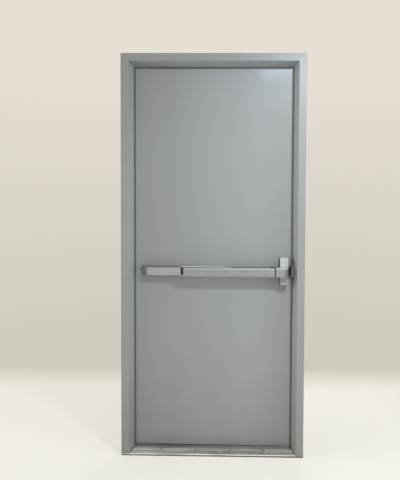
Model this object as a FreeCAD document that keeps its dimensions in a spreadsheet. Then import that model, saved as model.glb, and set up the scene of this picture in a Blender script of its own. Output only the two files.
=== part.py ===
# Steel utility door: a hollow sheet-steel leaf with a touch-bar exit device, in a pressed-steel frame
# with a metal sill.
# Millimetres. X runs along the wall, the push side faces -Y, Z is up.
# The origin is the middle of the sill's underside.

import FreeCAD
import Part
import Sketcher
import math
import os
import re

doc = FreeCAD.newDocument("SteelUtilityDoor")

# Driving sizes
sizes = {
    # leaf
    "leaf_width": 914, "leaf_height": 2134, "leaf_thick": 45, "leaf_skin": 1.2,
    "leaf_fold": 1.5, "edge_bevel": 3, "seam_gap": 0.4,
    "channel_height": 40, "channel_sheet": 1.5,
    # gaps around the leaf
    "side_gap": 5, "head_gap": 5, "floor_gap": 13, "stop_gap": 5,
    # frame members
    "frame_sheet": 1.5, "frame_fold": 2, "push_face": 40, "pull_face": 38,
    "reveal_depth": 65, "splay": 18, "throat_lip": 12,
    "seal_thick": 3.5, "seal_reach": 8, "seal_land": 14,
    # sill
    "sill_height": 10, "sill_bevel": 3, "flute_width": 3, "flute_depth": 1,
    "flute_spacing": 8, "flute_start": 9, "screw_band": 25,
    "sill_screw_spacing": 190, "sill_screw_inset": 40.5, "sill_screw_radius": 3.5, "sill_sink_radius": 7,
    # wall straps in the throats
    "strap_height": 50, "strap_sheet": 2, "strap_spacing": 650, "strap_first": 430,
    "strap_hole_radius": 5.5,
    # butt hinges
    "hinge_height": 110, "hinge_inset": 177, "plate_width": 36, "plate_thick": 3, "plate_fit": 0.3,
    "barrel_radius": 6.5, "barrel_stand": 7, "pin_radius": 3, "pin_play": 0.05,
    "pin_tip": 4, "knuckle_gap": 0.5,
    "backing_thick": 5, "backing_margin": 25,
    # exit device: latch head and chassis
    "bar_height": 1017, "head_inset": 43, "head_length": 70, "head_height": 48,
    "head_reach": 66, "head_round": 18,
    "head_edge": 2, "chassis_width": 45, "chassis_height": 147, "chassis_reach": 38,
    "chassis_over": 0, "chassis_edge": 4,
    # exit device: rail, cover, guide and end cap
    "bar_inset": 61, "rail_height": 42, "rail_reach": 40, "rail_wall": 2.5,
    "cover_sheet": 2, "cover_leg": 12,
    "guide_length": 13, "guide_sink": 3, "cap_length": 35, "cap_height": 50,
    "cap_land": 11, "cap_tip": 14, "cap_edge": 4,
    # exit device: push pad
    "pad_length": 498, "pad_height": 45, "pad_reach": 66, "pad_wall": 2.5, "pad_return": 11, "pad_end": 3,
    "pad_gap": 4, "joint_gap": 6, "pad_travel": 10, "pad_edge": 2.5,
    "carrier_clear": 5, "carrier_wall": 2,
    # latch bolt and strike
    "bolt_length": 44, "bolt_out": 20, "bolt_height": 22, "bolt_thick": 16,
    "bolt_cover": 3.5, "bolt_bevel": 12,
    "bolt_play": 0.6, "bolt_back": 2, "bolt_throw": 16,
    "keeper_height": 50, "keeper_thick": 6, "keeper_play": 2, "keeper_reach": 8, "keeper_length": 14,
    "strike_height": 62, "strike_sheet": 2, "strike_length": 22,
}

# Places worked out from the driving sizes
places = {
    "rabbet_x": "leaf_width / 2 + side_gap",
    "outer_x": "rabbet_x + pull_face",
    "push_x": "outer_x - push_face",
    "stop_x": "push_x - splay",
    "leaf_x": "leaf_width / 2",
    "leaf_low": "sill_height + floor_gap",
    "leaf_top": "leaf_low + leaf_height",
    "rabbet_z": "leaf_top + head_gap",
    "outer_z": "rabbet_z + pull_face",
    "push_z": "outer_z - push_face",
    "stop_z": "push_z - splay",
    "frame_depth": "reveal_depth + stop_gap + leaf_thick",
    "push_y": "-frame_depth / 2",
    "pull_y": "frame_depth / 2",
    "stop_y": "push_y + reveal_depth",
    "leaf_y": "stop_y + stop_gap",
    "seam_y": "leaf_y + leaf_thick / 2",
    "reveal_slant": "sqrt(reveal_depth * reveal_depth + splay * splay)",
    "axis_x": "-leaf_width / 2 - side_gap / 2",
    "axis_y": "pull_y + barrel_stand",
    "hinge_low": "leaf_low + hinge_inset",
    "hinge_top": "leaf_top - hinge_inset",
    "knuckle": "(hinge_height - 4 * knuckle_gap) / 5",
    "head_right": "leaf_x - head_inset",
    "head_left": "head_right - head_length",
    "chassis_right": "head_right + chassis_over",
    "chassis_left": "chassis_right - chassis_width",
    "chassis_front": "leaf_y - chassis_reach",
    "rail_left": "-leaf_x + bar_inset + cap_length",
    "rail_front": "leaf_y - rail_reach",
    "pad_right": "head_left - joint_gap",
    "pad_left": "pad_right - pad_length",
    "guide_right": "pad_left - pad_gap",
    "guide_left": "guide_right - guide_length",
    "pad_front": "leaf_y - pad_reach",
    "bolt_right": "chassis_right + bolt_out",
    "bolt_left": "bolt_right - bolt_length",
    "bolt_front": "chassis_front + bolt_cover",
    "bolt_rear": "bolt_front + bolt_thick",
    "keeper_front": "bolt_rear + keeper_play",
    "keeper_rear": "keeper_front + keeper_thick",
    "keeper_left": "chassis_right + keeper_reach",
    "keeper_right": "keeper_left + keeper_length",
}

sheet = doc.addObject("Spreadsheet::Sheet", "Sizes")
for row, (alias, number) in enumerate(sizes.items(), 1):
    sheet.set(f"A{row}", alias)
    sheet.set(f"B{row}", str(number))
    sheet.setAlias(f"B{row}", alias)
doc.recompute()


def bound(text):
    """The expression with every place written out and every size as its sheet cell."""
    def swap(match):
        word = match.group(0)
        if word in places:
            return "(" + bound(places[word]) + ")"
        return "Sizes." + word if word in sizes else word
    return re.sub(r"[a-z_]+", swap, text)


def new_body(label):
    body = doc.addObject("PartDesign::Body", label)
    body.Label = label
    return body


def new_sketch(body, plane, level):
    """An empty sketch on one of the body's origin planes, lifted along its normal to a level."""
    sketch = body.newObject("Sketcher::SketchObject", body.Name + "_sketch")
    base = [o for o in body.Origin.OriginFeatures if getattr(o, "Role", "") == plane + "_Plane"][0]
    sketch.AttachmentSupport = [(base, "")]
    sketch.MapMode = "FlatFace"
    sketch.setExpression("AttachmentOffset.Base.z", bound(level))
    return sketch


def outline(body, plane, level, corners):
    """A closed sketch through pairs of expressions; a rough ring is pulled to size by its dimensions."""
    sketch = new_sketch(body, plane, level)
    count = len(corners)
    turn = 2 * math.pi / count
    ring = [FreeCAD.Vector(math.cos(turn * i), math.sin(turn * i), 0) for i in range(count)]
    sketch.addGeometry([Part.LineSegment(ring[i], ring[(i + 1) % count]) for i in range(count)])
    sketch.addConstraint([Sketcher.Constraint("Coincident", i, 2, (i + 1) % count, 1)
                          for i in range(count)])
    for i, (across, along) in enumerate(corners):
        for kind, start, text in (("DistanceX", ring[i].x, across), ("DistanceY", ring[i].y, along)):
            index = sketch.addConstraint(Sketcher.Constraint(kind, -1, 1, i, 1, start))
            sketch.setExpression(f"Constraints[{index}]", bound(text))
    return sketch


def rectangle(across_0, along_0, across_1, along_1):
    return [(across_0, along_0), (across_1, along_0), (across_1, along_1), (across_0, along_1)]


def disc(body, plane, level, across, along, radius):
    """A sketch of one circle."""
    sketch = new_sketch(body, plane, level)
    sketch.addGeometry(Part.Circle(FreeCAD.Vector(1, 1, 0), FreeCAD.Vector(0, 0, 1), 1))
    for kind, ends, text in (("DistanceX", (-1, 1, 0, 3), across), ("DistanceY", (-1, 1, 0, 3), along),
                             ("Radius", (0,), radius)):
        index = sketch.addConstraint(Sketcher.Constraint(kind, *ends, 1))
        sketch.setExpression(f"Constraints[{index}]", bound(text))
    return sketch


def pad(body, sketch, length):
    feature = body.newObject("PartDesign::Pad", body.Name + "_pad")
    feature.Profile = sketch
    feature.setExpression("Length", bound(length))
    return feature


def pocket(body, sketch, length):
    """A cut against the sketch's normal."""
    feature = body.newObject("PartDesign::Pocket", body.Name + "_cut")
    feature.Profile = sketch
    feature.setExpression("Length", bound(length))
    return feature


def repeat(body, features, axis, length, count):
    """The features again along one of the body's axes, count times over the length."""
    pattern = body.newObject("PartDesign::LinearPattern", body.Name + "_row")
    pattern.Originals = features
    line = [o for o in body.Origin.OriginFeatures if getattr(o, "Role", "") == axis + "_Axis"][0]
    pattern.Direction = (line, [""])
    pattern.setExpression("Length", bound(length))
    pattern.Occurrences = count
    body.Tip = pattern
    return pattern


def dressed(body, kind, measure, size, wanted):
    """A fillet or chamfer on the edges of the solid so far that the test picks."""
    doc.recompute()
    base = body.Tip
    names = [f"Edge{i}" for i, edge in enumerate(base.Shape.Edges, 1) if wanted(edge)]
    feature = body.newObject("PartDesign::" + kind, body.Name + "_edge")
    feature.Base = (base, names)
    feature.setExpression(measure, bound(size))
    body.Tip = feature
    return feature


def rounded(body, radius, wanted):
    return dressed(body, "Fillet", "Radius", radius, wanted)


def bevelled(body, size, wanted):
    return dressed(body, "Chamfer", "Size", size, wanted)


def folded(body, sketch, corners, axis, radius):
    """A fillet along the folds that start from the numbered corners of the sketch."""
    doc.recompute()
    spots = [sketch.Geometry[i].StartPoint for i in corners]
    flat = {"Z": lambda point: (point.x, point.y), "X": lambda point: (point.y, point.z)}[axis]
    return rounded(body, radius, lambda edge: runs_along(edge, axis) and any(
        math.dist(flat(edge.Vertexes[0].Point), (spot.x, spot.y)) < 1e-6 for spot in spots))


def runs_along(edge, axis):
    box = edge.BoundBox
    spans = {"X": box.XLength, "Y": box.YLength, "Z": box.ZLength}
    return all(span < 1e-6 for name, span in spans.items() if name != axis)


def foremost(edge, body):
    """Whether the edge lies in the body's front plane, on the push side."""
    return edge.BoundBox.YMax < body.Shape.BoundBox.YMin + 1e-6


# Frame members: one folded section for both jambs and the head
def frame_section(outer, push, stop, rabbet):
    """Corners of the folded sheet as (across, depth), from lip to lip round the outside and back."""
    fold_out = "frame_sheet * (reveal_slant - splay) / reveal_depth"
    fold_in = "frame_sheet * (reveal_slant + splay) / reveal_depth"
    return [
        (outer, "push_y + throat_lip"), (outer, "push_y"), (push, "push_y"), (stop, "stop_y"),
        (rabbet, "stop_y"), (rabbet, "pull_y"), (outer, "pull_y"), (outer, "pull_y - throat_lip"),
        (outer + " - frame_sheet", "pull_y - throat_lip"),
        (outer + " - frame_sheet", "pull_y - frame_sheet"),
        (rabbet + " + frame_sheet", "pull_y - frame_sheet"),
        (rabbet + " + frame_sheet", "stop_y - frame_sheet"),
        (stop + " + " + fold_in, "stop_y - frame_sheet"),
        (push + " + " + fold_out, "push_y + frame_sheet"),
        (outer + " - frame_sheet", "push_y + frame_sheet"),
        (outer + " - frame_sheet", "push_y + throat_lip"),
    ]


outer_folds = [i for i in range(1, 7) if i != 4]  # all round the outside but the inner corner of the rabbet


def jamb(label, side):
    """An upright frame member on the sill, its top mitred to meet the head."""
    body = new_body(label)
    corners = [(f"{side} * ({across})", depth)
               for across, depth in frame_section("outer_x", "push_x", "stop_x", "rabbet_x")]
    sketch = outline(body, "XY", "sill_height", corners)
    pad(body, sketch, "outer_z - sill_height")
    folded(body, sketch, outer_folds, "Z", "frame_fold")
    reach = "(outer_x - stop_x)"
    mitre = [(f"{side} * outer_x", "outer_z"), (f"{side} * (outer_x - 2 * {reach})", "outer_z"),
             (f"{side} * (outer_x - 2 * {reach})", f"outer_z - 2 * {reach}")]
    pocket(body, outline(body, "XZ", "frame_depth", mitre), "2 * frame_depth")
    return body


hinge_jamb = jamb("hinge_jamb", -1)
mortise = pocket(hinge_jamb, outline(hinge_jamb, "XY", "hinge_low + hinge_height / 2 + plate_fit",
    rectangle(
    "-rabbet_x - plate_thick", "pull_y - plate_width - plate_fit", "-rabbet_x", "pull_y")),
    "hinge_height + 2 * plate_fit")
repeat(hinge_jamb, [mortise], "Z", "hinge_top - hinge_low", 3)
strike_jamb = jamb("strike_jamb", 1)

frame_head = new_body("frame_head")
section = [(depth, across) for across, depth in frame_section("outer_z", "push_z", "stop_z", "rabbet_z")]
sketch = outline(frame_head, "YZ", "-outer_x", section)
pad(frame_head, sketch, "2 * outer_x")
folded(frame_head, sketch, outer_folds, "X", "frame_fold")
for side in (-1, 1):
    mitre = [(f"{side} * outer_x", "outer_z"), (f"{side} * outer_x", "outer_z - 2 * (outer_z - stop_z)"),
             (f"{side} * (outer_x - 2 * (outer_z - stop_z))", "outer_z - 2 * (outer_z - stop_z)")]
    pocket(frame_head, outline(frame_head, "XZ", "frame_depth", mitre), "2 * frame_depth")

# Sill: a solid bar under both jambs, its long edges bevelled and its tread fluted
sill = new_body("sill")
pad(sill, outline(sill, "YZ", "-outer_x", [
    ("push_y", "0"), ("pull_y", "0"), ("pull_y", "sill_height - sill_bevel"),
    ("pull_y - sill_bevel", "sill_height"),
    ("push_y + sill_bevel", "sill_height"), ("push_y", "sill_height - sill_bevel")]), "2 * outer_x")
doc.recompute()
screw_y = "push_y + sill_screw_inset"
for start in ("push_y + flute_start", screw_y + " + screw_band / 2"):
    flute = pocket(sill, outline(sill, "XY", "sill_height", rectangle(
        "-stop_x", start, "stop_x", start + " + flute_width")), "flute_depth")
    repeat(sill, [flute], "Y", "2 * flute_spacing", 3)
hole = sill.newObject("PartDesign::Hole", "sill_screw_hole")
hole.Profile = disc(sill, "XY", "sill_height", "-1.5 * sill_screw_spacing", screw_y, "sill_screw_radius")
doc.recompute()
hole.DepthType = "ThroughAll"
hole.HoleCutType = "Countersink"
hole.HoleCutCountersinkAngle = 90
hole.setExpression("Diameter", bound("2 * sill_screw_radius"))
hole.setExpression("HoleCutDiameter", bound("2 * sill_sink_radius"))
repeat(sill, [hole], "X", "3 * sill_screw_spacing", 4)

# Seals on the back of the stops, butted under the one along the head
for label, side in (("hinge_seal", -1), ("strike_seal", 1)):
    body = new_body(label)
    pad(body, outline(body, "XY", "sill_height", rectangle(
        f"{side} * (stop_x - seal_reach)", "stop_y",
        f"{side} * (stop_x + seal_land)", "stop_y + seal_thick")),
        "stop_z - seal_reach - sill_height")
head_seal = new_body("head_seal")
pad(head_seal, outline(head_seal, "YZ", "-stop_x - seal_land", rectangle(
    "stop_y", "stop_z - seal_reach", "stop_y + seal_thick", "stop_z + seal_land")),
    "2 * (stop_x + seal_land)")

# Wall straps: plates behind the lips of each jamb's throat, with one bolt hole
for jamb_name, side in (("hinge_jamb", -1), ("strike_jamb", 1)):
    for step, level in enumerate(("low", "middle", "high")):
        body = new_body(f"{jamb_name}_strap_{level}")
        middle = f"(strap_first + {step} * strap_spacing)"
        inner = "outer_x - frame_sheet"
        pad(body, outline(body, "XY", f"{middle} - strap_height / 2", rectangle(
            f"{side} * ({inner} - strap_sheet)", "push_y + frame_sheet",
            f"{side} * ({inner})", "pull_y - frame_sheet")),
            "strap_height")
        pocket(body, disc(body, "YZ", "outer_x" if side > 0 else "0", "0", middle, "strap_hole_radius"),
               "outer_x")


# Butt hinges: five knuckles on one pin, both plates let in flush, built about the pin
def at_hinge(body, height):
    body.setExpression("Placement.Base.x", bound("axis_x"))
    body.setExpression("Placement.Base.y", bound("axis_y"))
    body.setExpression("Placement.Base.z", bound(height))
    return body


def hinge_plate(label, height, side, first, count):
    """A plate and its knuckles; side -1 is the frame's, and first numbers its lowest knuckle from 0."""
    body = at_hinge(new_body(label), height)
    near, far = f"{side} * side_gap / 2", f"{side} * (side_gap / 2 + plate_thick)"
    pad(body, outline(body, "XY", "-hinge_height / 2", rectangle(
        near, "-barrel_stand - plate_width", far, "-barrel_stand")), "hinge_height")
    lift = f"-hinge_height / 2 + {first} * (knuckle + knuckle_gap)"
    tab = pad(body, outline(body, "XY", lift, rectangle(near, "-barrel_stand", far, "0")), "knuckle")
    barrel = pad(body, disc(body, "XY", lift, "0", "0", "barrel_radius"), "knuckle")
    repeat(body, [tab, barrel], "Z", f"{count - 1} * 2 * (knuckle + knuckle_gap)", count)
    pocket(body, disc(body, "XY", "hinge_height", "0", "0", "pin_radius + pin_play"), "2 * hinge_height")
    return body


def hinge_pin(label, height):
    """A plain pin with a tapered tip at each end of the barrel."""
    body = at_hinge(new_body(label), height)
    tip = "hinge_height / 2 + knuckle_gap"
    end = f"{tip} + pin_tip"
    half = [("0", f"-({end})"), ("pin_radius", f"-({end})"),
            ("barrel_radius", f"-({tip})"), ("pin_radius", f"-({tip})"),
            ("pin_radius", tip), ("barrel_radius", tip), ("pin_radius", end), ("0", end)]
    turned = body.newObject("PartDesign::Revolution", body.Name + "_turn")
    turned.Profile = outline(body, "XZ", "0", half)
    turned.ReferenceAxis = (turned.Profile[0], ["V_Axis"])
    return body


def hinge_backing(label, height):
    """The plate welded inside the jamb behind a hinge, recessed for the hinge plate."""
    body = at_hinge(new_body(label), height)
    sheet_back, plate_back = "-side_gap / 2 - frame_sheet", "-side_gap / 2 - plate_thick"
    pad(body, outline(body, "XY", "-hinge_height / 2 - backing_margin", rectangle(
        f"{plate_back} - backing_thick", "-barrel_stand - leaf_thick",
        sheet_back, "-barrel_stand - frame_sheet")),
        "hinge_height + 2 * backing_margin")
    pocket(body, outline(body, "XY", "hinge_height / 2 + plate_fit", rectangle(
        plate_back, "-barrel_stand - plate_width - plate_fit",
        sheet_back, "-barrel_stand - frame_sheet")),
        "hinge_height + 2 * plate_fit")
    return body


for level, height in (("low", "hinge_low"), ("middle", "(hinge_low + hinge_top) / 2"),
                      ("high", "hinge_top")):
    hinge_plate(f"{level}_hinge_frame_plate", height, -1, 0, 3)
    hinge_plate(f"{level}_hinge_leaf_plate", height, 1, 1, 2)
    hinge_pin(f"{level}_hinge_pin", height)
    hinge_backing(f"{level}_hinge_backing", height)


# Leaf: two skin pans that meet in a seam along both edges, channels in the ends and a core between
def leaf_edge(depth, inset):
    """Where the bevelled lock edge stands at a depth behind the push face, less an inset."""
    return f"leaf_x - edge_bevel * (1 - ({depth}) / leaf_thick) - {inset}"


def hinge_notches(body):
    """Lets the leaf's hinge plates into the hinge edge."""
    notch = pocket(body, outline(body, "XY", "hinge_low + hinge_height / 2 + plate_fit", rectangle(
        "-leaf_x", "pull_y - plate_width - plate_fit", "-leaf_x + plate_thick", "pull_y")),
        "hinge_height + 2 * plate_fit")
    repeat(body, [notch], "Z", "hinge_top - hinge_low", 3)


def skin(label, face, inner, seam, depth_face, depth_seam):
    """A pan: one face of the leaf with both long edges turned back to the seam."""
    body = new_body(label)
    sketch = outline(body, "XY", "leaf_low", [
        ("-leaf_x", seam), ("-leaf_x", face),
        (leaf_edge(depth_face, "0"), face), (leaf_edge(depth_seam, "0"), seam),
        (leaf_edge(depth_seam, "leaf_skin"), seam), (leaf_edge(depth_face, "leaf_skin"), inner),
        ("-leaf_x + leaf_skin", inner), ("-leaf_x + leaf_skin", seam)])
    pad(body, sketch, "leaf_height")
    folded(body, sketch, (1, 2), "Z", "leaf_fold")
    hinge_notches(body)
    return body


skin("leaf_push_skin", "leaf_y", "leaf_y + leaf_skin", "seam_y - seam_gap / 2", "0", "leaf_thick / 2")
skin("leaf_pull_skin", "pull_y", "pull_y - leaf_skin", "seam_y + seam_gap / 2",
     "leaf_thick", "leaf_thick / 2")

inside = rectangle("-leaf_x + leaf_skin", "leaf_y + leaf_skin",
                   "leaf_x - edge_bevel - leaf_skin", "pull_y - leaf_skin")
leaf_core = new_body("leaf_core")
pad(leaf_core, outline(leaf_core, "XY", "leaf_low + channel_height", inside),
    "leaf_height - 2 * channel_height")
hinge_notches(leaf_core)


def end_channel(label, low, web_low):
    """A channel across one end of the leaf; its web is at one side of its height."""
    body = new_body(label)
    pad(body, outline(body, "XY", low, inside), "channel_height")
    hollow = rectangle("-leaf_x", "leaf_y + leaf_skin + channel_sheet",
                       "leaf_x", "pull_y - leaf_skin - channel_sheet")
    pocket(body, outline(body, "XY", f"{web_low} + channel_height", hollow), "channel_height")
    return body


end_channel("leaf_top_channel", "leaf_top - channel_height", "leaf_top - channel_height - channel_sheet")
end_channel("leaf_bottom_channel", "leaf_low", "leaf_low - channel_sheet")

# Exit device: latch chassis, the upright block on the leaf, with a slot for the bolt
bar_low, bar_high = "bar_height - {0} / 2", "bar_height + {0} / 2"


def centred(body, corners, height):
    """A plan outline raised to a height and centred on the bar."""
    return pad(body, outline(body, "XY", bar_low.format(height), corners), height)


chassis = new_body("latch_chassis")
centred(chassis, rectangle("chassis_left", "leaf_y", "chassis_right", "chassis_front"), "chassis_height")
rounded(chassis, "chassis_edge", lambda edge: foremost(edge, chassis))
pocket(chassis, outline(chassis, "YZ", "chassis_right", rectangle(
    "bolt_front - bolt_play", bar_low.format("bolt_height") + " - bolt_play",
    "bolt_rear + bolt_play", bar_high.format("bolt_height") + " + bolt_play")),
    "chassis_right - bolt_left + bolt_throw + bolt_back")

# Latch head: a cover in front of the chassis and beside it, its free end rounded
head = new_body("latch_head_cover")
centred(head, [("head_left", "leaf_y"), ("head_left", "leaf_y - head_reach"),
               ("head_right", "leaf_y - head_reach"),
               ("head_right", "chassis_front"), ("chassis_left", "chassis_front"),
               ("chassis_left", "leaf_y")], "head_height")
rounded(head, "head_round", lambda edge: runs_along(edge, "Z") and foremost(edge, head)
        and edge.BoundBox.XMin > head.Shape.BoundBox.XMax - 1e-6)
bevelled(head, "head_edge", lambda edge: runs_along(edge, "X") and foremost(edge, head))

# Rail: a channel open towards the push side, from the joint beside the latch head to the end cap
rail = new_body("bar_rail")
low, high = bar_low.format("rail_height"), bar_high.format("rail_height")
pad(rail, outline(rail, "YZ", "rail_left", [
    ("leaf_y", low), ("leaf_y", high), ("rail_front", high), ("rail_front", high + " - rail_wall"),
    ("leaf_y - rail_wall", high + " - rail_wall"), ("leaf_y - rail_wall", low + " + rail_wall"),
    ("rail_front", low + " + rail_wall"), ("rail_front", low)]), "pad_right - rail_left")

# Bright cover over the free stretch of the rail, with two legs inside it
cover = new_body("rail_cover")
leg = "rail_front + cover_leg"
pad(cover, outline(cover, "YZ", "rail_left", [
    ("rail_front - cover_sheet", low), ("rail_front - cover_sheet", high), ("rail_front", high),
    ("rail_front", high + " - rail_wall"), (leg, high + " - rail_wall"),
    (leg, high + " - rail_wall - cover_sheet"), ("rail_front", high + " - rail_wall - cover_sheet"),
    ("rail_front", low + " + rail_wall + cover_sheet"), (leg, low + " + rail_wall + cover_sheet"),
    (leg, low + " + rail_wall"), ("rail_front", low + " + rail_wall"), ("rail_front", low)]),
    "guide_left - rail_left")

# Black guide that closes the rail beside the pad
guide = new_body("rail_guide")
pad(guide, outline(guide, "YZ", "guide_left", rectangle(
    "rail_front + guide_sink", low + " + rail_wall", "leaf_y - rail_wall", high + " - rail_wall")),
    "guide_length")

# Tapered cap on the rail's free end
cap = new_body("bar_end_cap")
front = "rail_front - cover_sheet"
centred(cap, [("rail_left", "leaf_y"), ("rail_left", front), ("rail_left - cap_land", front),
              ("rail_left - cap_length", "leaf_y - cap_tip"), ("rail_left - cap_length", "leaf_y")],
        "cap_height")
rounded(cap, "cap_edge", lambda edge: not runs_along(edge, "Y") and not runs_along(edge, "Z")
        and edge.BoundBox.YMax < cap.Shape.BoundBox.YMax - 1e-6)

# Push pad: a shallow channel that stands clear in front of the rail, closed by two end plates
push_pad = new_body("push_pad")
low, high = bar_low.format("pad_height"), bar_high.format("pad_height")
pad_back = "pad_front + pad_return"
sketch = outline(push_pad, "YZ", "pad_left + pad_end", [
    (pad_back, low), ("pad_front", low), ("pad_front", high), (pad_back, high),
    (pad_back, high + " - pad_wall"),
    ("pad_front + pad_wall", high + " - pad_wall"), ("pad_front + pad_wall", low + " + pad_wall"),
    (pad_back, low + " + pad_wall")])
pad(push_pad, sketch, "pad_length - 2 * pad_end")
folded(push_pad, sketch, (1, 2), "X", "pad_edge")
for label, left in (("pad_left_end", "pad_left"), ("pad_right_end", "pad_right - pad_end")):
    body = new_body(label)
    sketch = outline(body, "YZ", left, rectangle("pad_front", low, pad_back, high))
    pad(body, sketch, "pad_end")
    folded(body, sketch, (0, 3), "X", "pad_edge")

# Carrier: a channel behind the pad that slides in the rail
carrier = new_body("pad_carrier")
low = bar_low.format("rail_height") + " + rail_wall + carrier_clear"
high = bar_high.format("rail_height") + " - rail_wall - carrier_clear"
nose, tail = "pad_front + pad_wall", "leaf_y - rail_wall - carrier_clear - pad_travel"
pad(carrier, outline(carrier, "YZ", "pad_left + pad_end", [
    (tail, low), (nose, low), (nose, high), (tail, high), (tail, high + " - carrier_wall"),
    (nose + " + carrier_wall", high + " - carrier_wall"),
    (nose + " + carrier_wall", low + " + carrier_wall"),
    (tail, low + " + carrier_wall")]), "pad_length - 2 * pad_end")

# Latch bolt, bevelled on the side that meets the keeper as the leaf closes
bolt = new_body("latch_bolt")
centred(bolt, [("bolt_left", "bolt_rear"), ("bolt_left", "bolt_front"),
               ("bolt_right - bolt_bevel", "bolt_front"),
               ("bolt_right", "bolt_rear - bolt_thick / 4"), ("bolt_right", "bolt_rear")], "bolt_height")


# Strike on the strike jamb's reveal: a plate laid on the splay with a lip, and a black keeper on the lip
def reveal_x(depth):
    """How far out the reveal stands at a depth."""
    return f"(push_x - splay * (({depth}) - push_y) / reveal_depth)"


strike = new_body("strike_plate")
start = "keeper_rear - strike_length"
centred(strike, [(reveal_x(start), start), (reveal_x("keeper_rear"), "keeper_rear"),
                 ("keeper_right", "keeper_rear"), ("keeper_right", "keeper_front"),
                 (reveal_x("keeper_front") + " - strike_sheet", "keeper_front"),
                 (reveal_x(start) + " - strike_sheet", start)], "strike_height")
keeper = new_body("strike_keeper")
centred(keeper, rectangle("keeper_left", "keeper_front", "keeper_right", "keeper_rear"), "keeper_height")

doc.recompute()

# Every object is checked before anything is written
for item in doc.Objects:
    bad = [state for state in item.State if state in ("Invalid", "Error")]
    if bad:
        raise RuntimeError(f"{item.Label}: {bad} {item.getStatusString()}")
parts = [item for item in doc.Objects if item.TypeId == "PartDesign::Body"]
for part in parts:
    if part.Shape.isNull() or not part.Shape.isValid() or len(part.Shape.Solids) != 1:
        raise RuntimeError(f"{part.Label}: no sound solid")

os.makedirs("parts", exist_ok=True)
for part in parts:
    part.Shape.exportStep(os.path.join("parts", part.Label + ".step"))
print(len(parts), "parts written")
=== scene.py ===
import math

import bmesh
import bpy
from mathutils import Matrix, Vector


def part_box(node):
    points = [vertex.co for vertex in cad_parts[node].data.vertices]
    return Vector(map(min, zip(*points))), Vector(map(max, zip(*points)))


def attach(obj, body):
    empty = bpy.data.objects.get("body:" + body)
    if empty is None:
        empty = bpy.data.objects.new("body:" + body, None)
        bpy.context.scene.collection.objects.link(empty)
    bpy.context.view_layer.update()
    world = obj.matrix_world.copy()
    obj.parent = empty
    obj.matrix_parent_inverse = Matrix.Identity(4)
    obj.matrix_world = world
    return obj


# Grey steel utility door with a touch bar: finishes, fasteners, studio and camera. Metres, as in the frame.
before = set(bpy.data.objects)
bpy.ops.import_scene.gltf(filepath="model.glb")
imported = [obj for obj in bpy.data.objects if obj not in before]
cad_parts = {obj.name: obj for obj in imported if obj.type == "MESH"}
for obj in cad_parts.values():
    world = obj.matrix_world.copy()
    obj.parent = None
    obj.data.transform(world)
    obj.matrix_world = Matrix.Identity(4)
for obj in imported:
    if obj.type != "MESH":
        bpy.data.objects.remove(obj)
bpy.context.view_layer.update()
scene = bpy.context.scene
scene.view_settings.view_transform = "Standard"
print("frame loaded:", len(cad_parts), "nodes")

black = (0, 0, 0, 1)
noiseSpan = (0.3, 0.7)  # most of a noise's values lie between these
squareOn = 0.9  # a face looks along an axis when this much of its normal does
smoothAngle = math.radians(35)


def shade(red, green, blue):
    # screen values 0-255 to the linear colour that Blender works in
    linear = [v / 255 / 12.92 if v < 11 else ((v / 255 + 0.055) / 1.055) ** 2.4 for v in (red, green, blue)]
    return (*linear, 1)


def spanFrom(start, span):
    # a span counted from an edge of a piece, or from a middle value
    return start + span[0], start + span[1]


def addNode(tree, kind, sockets=None, **settings):
    # a value that is a socket is linked, anything else is typed in
    node = tree.nodes.new(kind)
    for name, value in settings.items():
        setattr(node, name, value)
    for name, value in (sockets or {}).items():
        if isinstance(value, bpy.types.NodeSocket):
            tree.links.new(value, node.inputs[name])
        else:
            node.inputs[name].default_value = value
    return node


def mixColour(tree, factor, first, second, blend="MIX"):
    sockets = {0: factor, 6: first, 7: second}  # 6 and 7 are the node's two colours
    return addNode(tree, "ShaderNodeMix", sockets, data_type="RGBA", blend_type=blend).outputs[2]


def stretch(tree, value, low, high, toLow=0.0, toHigh=1.0):
    # low turns into toLow and high into toHigh, level beyond them
    sockets = {0: value, 1: low, 2: high, 3: toLow, 4: toHigh}
    return addNode(tree, "ShaderNodeMapRange", sockets).outputs[0]


def calc(tree, operation, *values):
    # one math node after another, from the first value on
    total = values[0]
    for value in values[1:]:
        total = addNode(tree, "ShaderNodeMath", {0: total, 1: value}, operation=operation).outputs[0]
    return total


def times(tree, *values):
    return calc(tree, "MULTIPLY", *values)


def plus(tree, *values):
    return calc(tree, "ADD", *values)


def minus(tree, *values):
    return calc(tree, "SUBTRACT", *values)


def most(tree, *values):
    return calc(tree, "MAXIMUM", *values)


def unsigned(tree, value):
    return addNode(tree, "ShaderNodeMath", {0: value}, operation="ABSOLUTE").outputs[0]


def objectCoord(tree):
    return addNode(tree, "ShaderNodeTexCoord").outputs["Object"]


def objectPlace(tree, scale=(1, 1, 1)):
    return addNode(tree, "ShaderNodeMapping", {0: objectCoord(tree), "Scale": scale}).outputs[0]


def axesOf(tree, place):
    return addNode(tree, "ShaderNodeSeparateXYZ", {0: place}).outputs


def noise(tree, place, scale, detail):
    return addNode(tree, "ShaderNodeTexNoise", {"Vector": place, "Scale": scale, "Detail": detail}).outputs[0]


def useGroup(tree, group, sockets):
    return addNode(tree, "ShaderNodeGroup", sockets, node_tree=group).outputs


def startGroup(name, inputs, outputs):
    group = bpy.data.node_groups.new(name, "ShaderNodeTree")
    for label, kind, value in inputs:
        socket = group.interface.new_socket(label, in_out="INPUT", socket_type="NodeSocket" + kind)
        socket.default_value = value
    for label, kind in outputs:
        group.interface.new_socket(label, in_out="OUTPUT", socket_type="NodeSocket" + kind)
    return group, group.nodes.new("NodeGroupInput").outputs, group.nodes.new("NodeGroupOutput")


def endGroup(group, result, values):
    for label, value in values.items():
        group.links.new(value, result.inputs[label])
    return group


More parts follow.
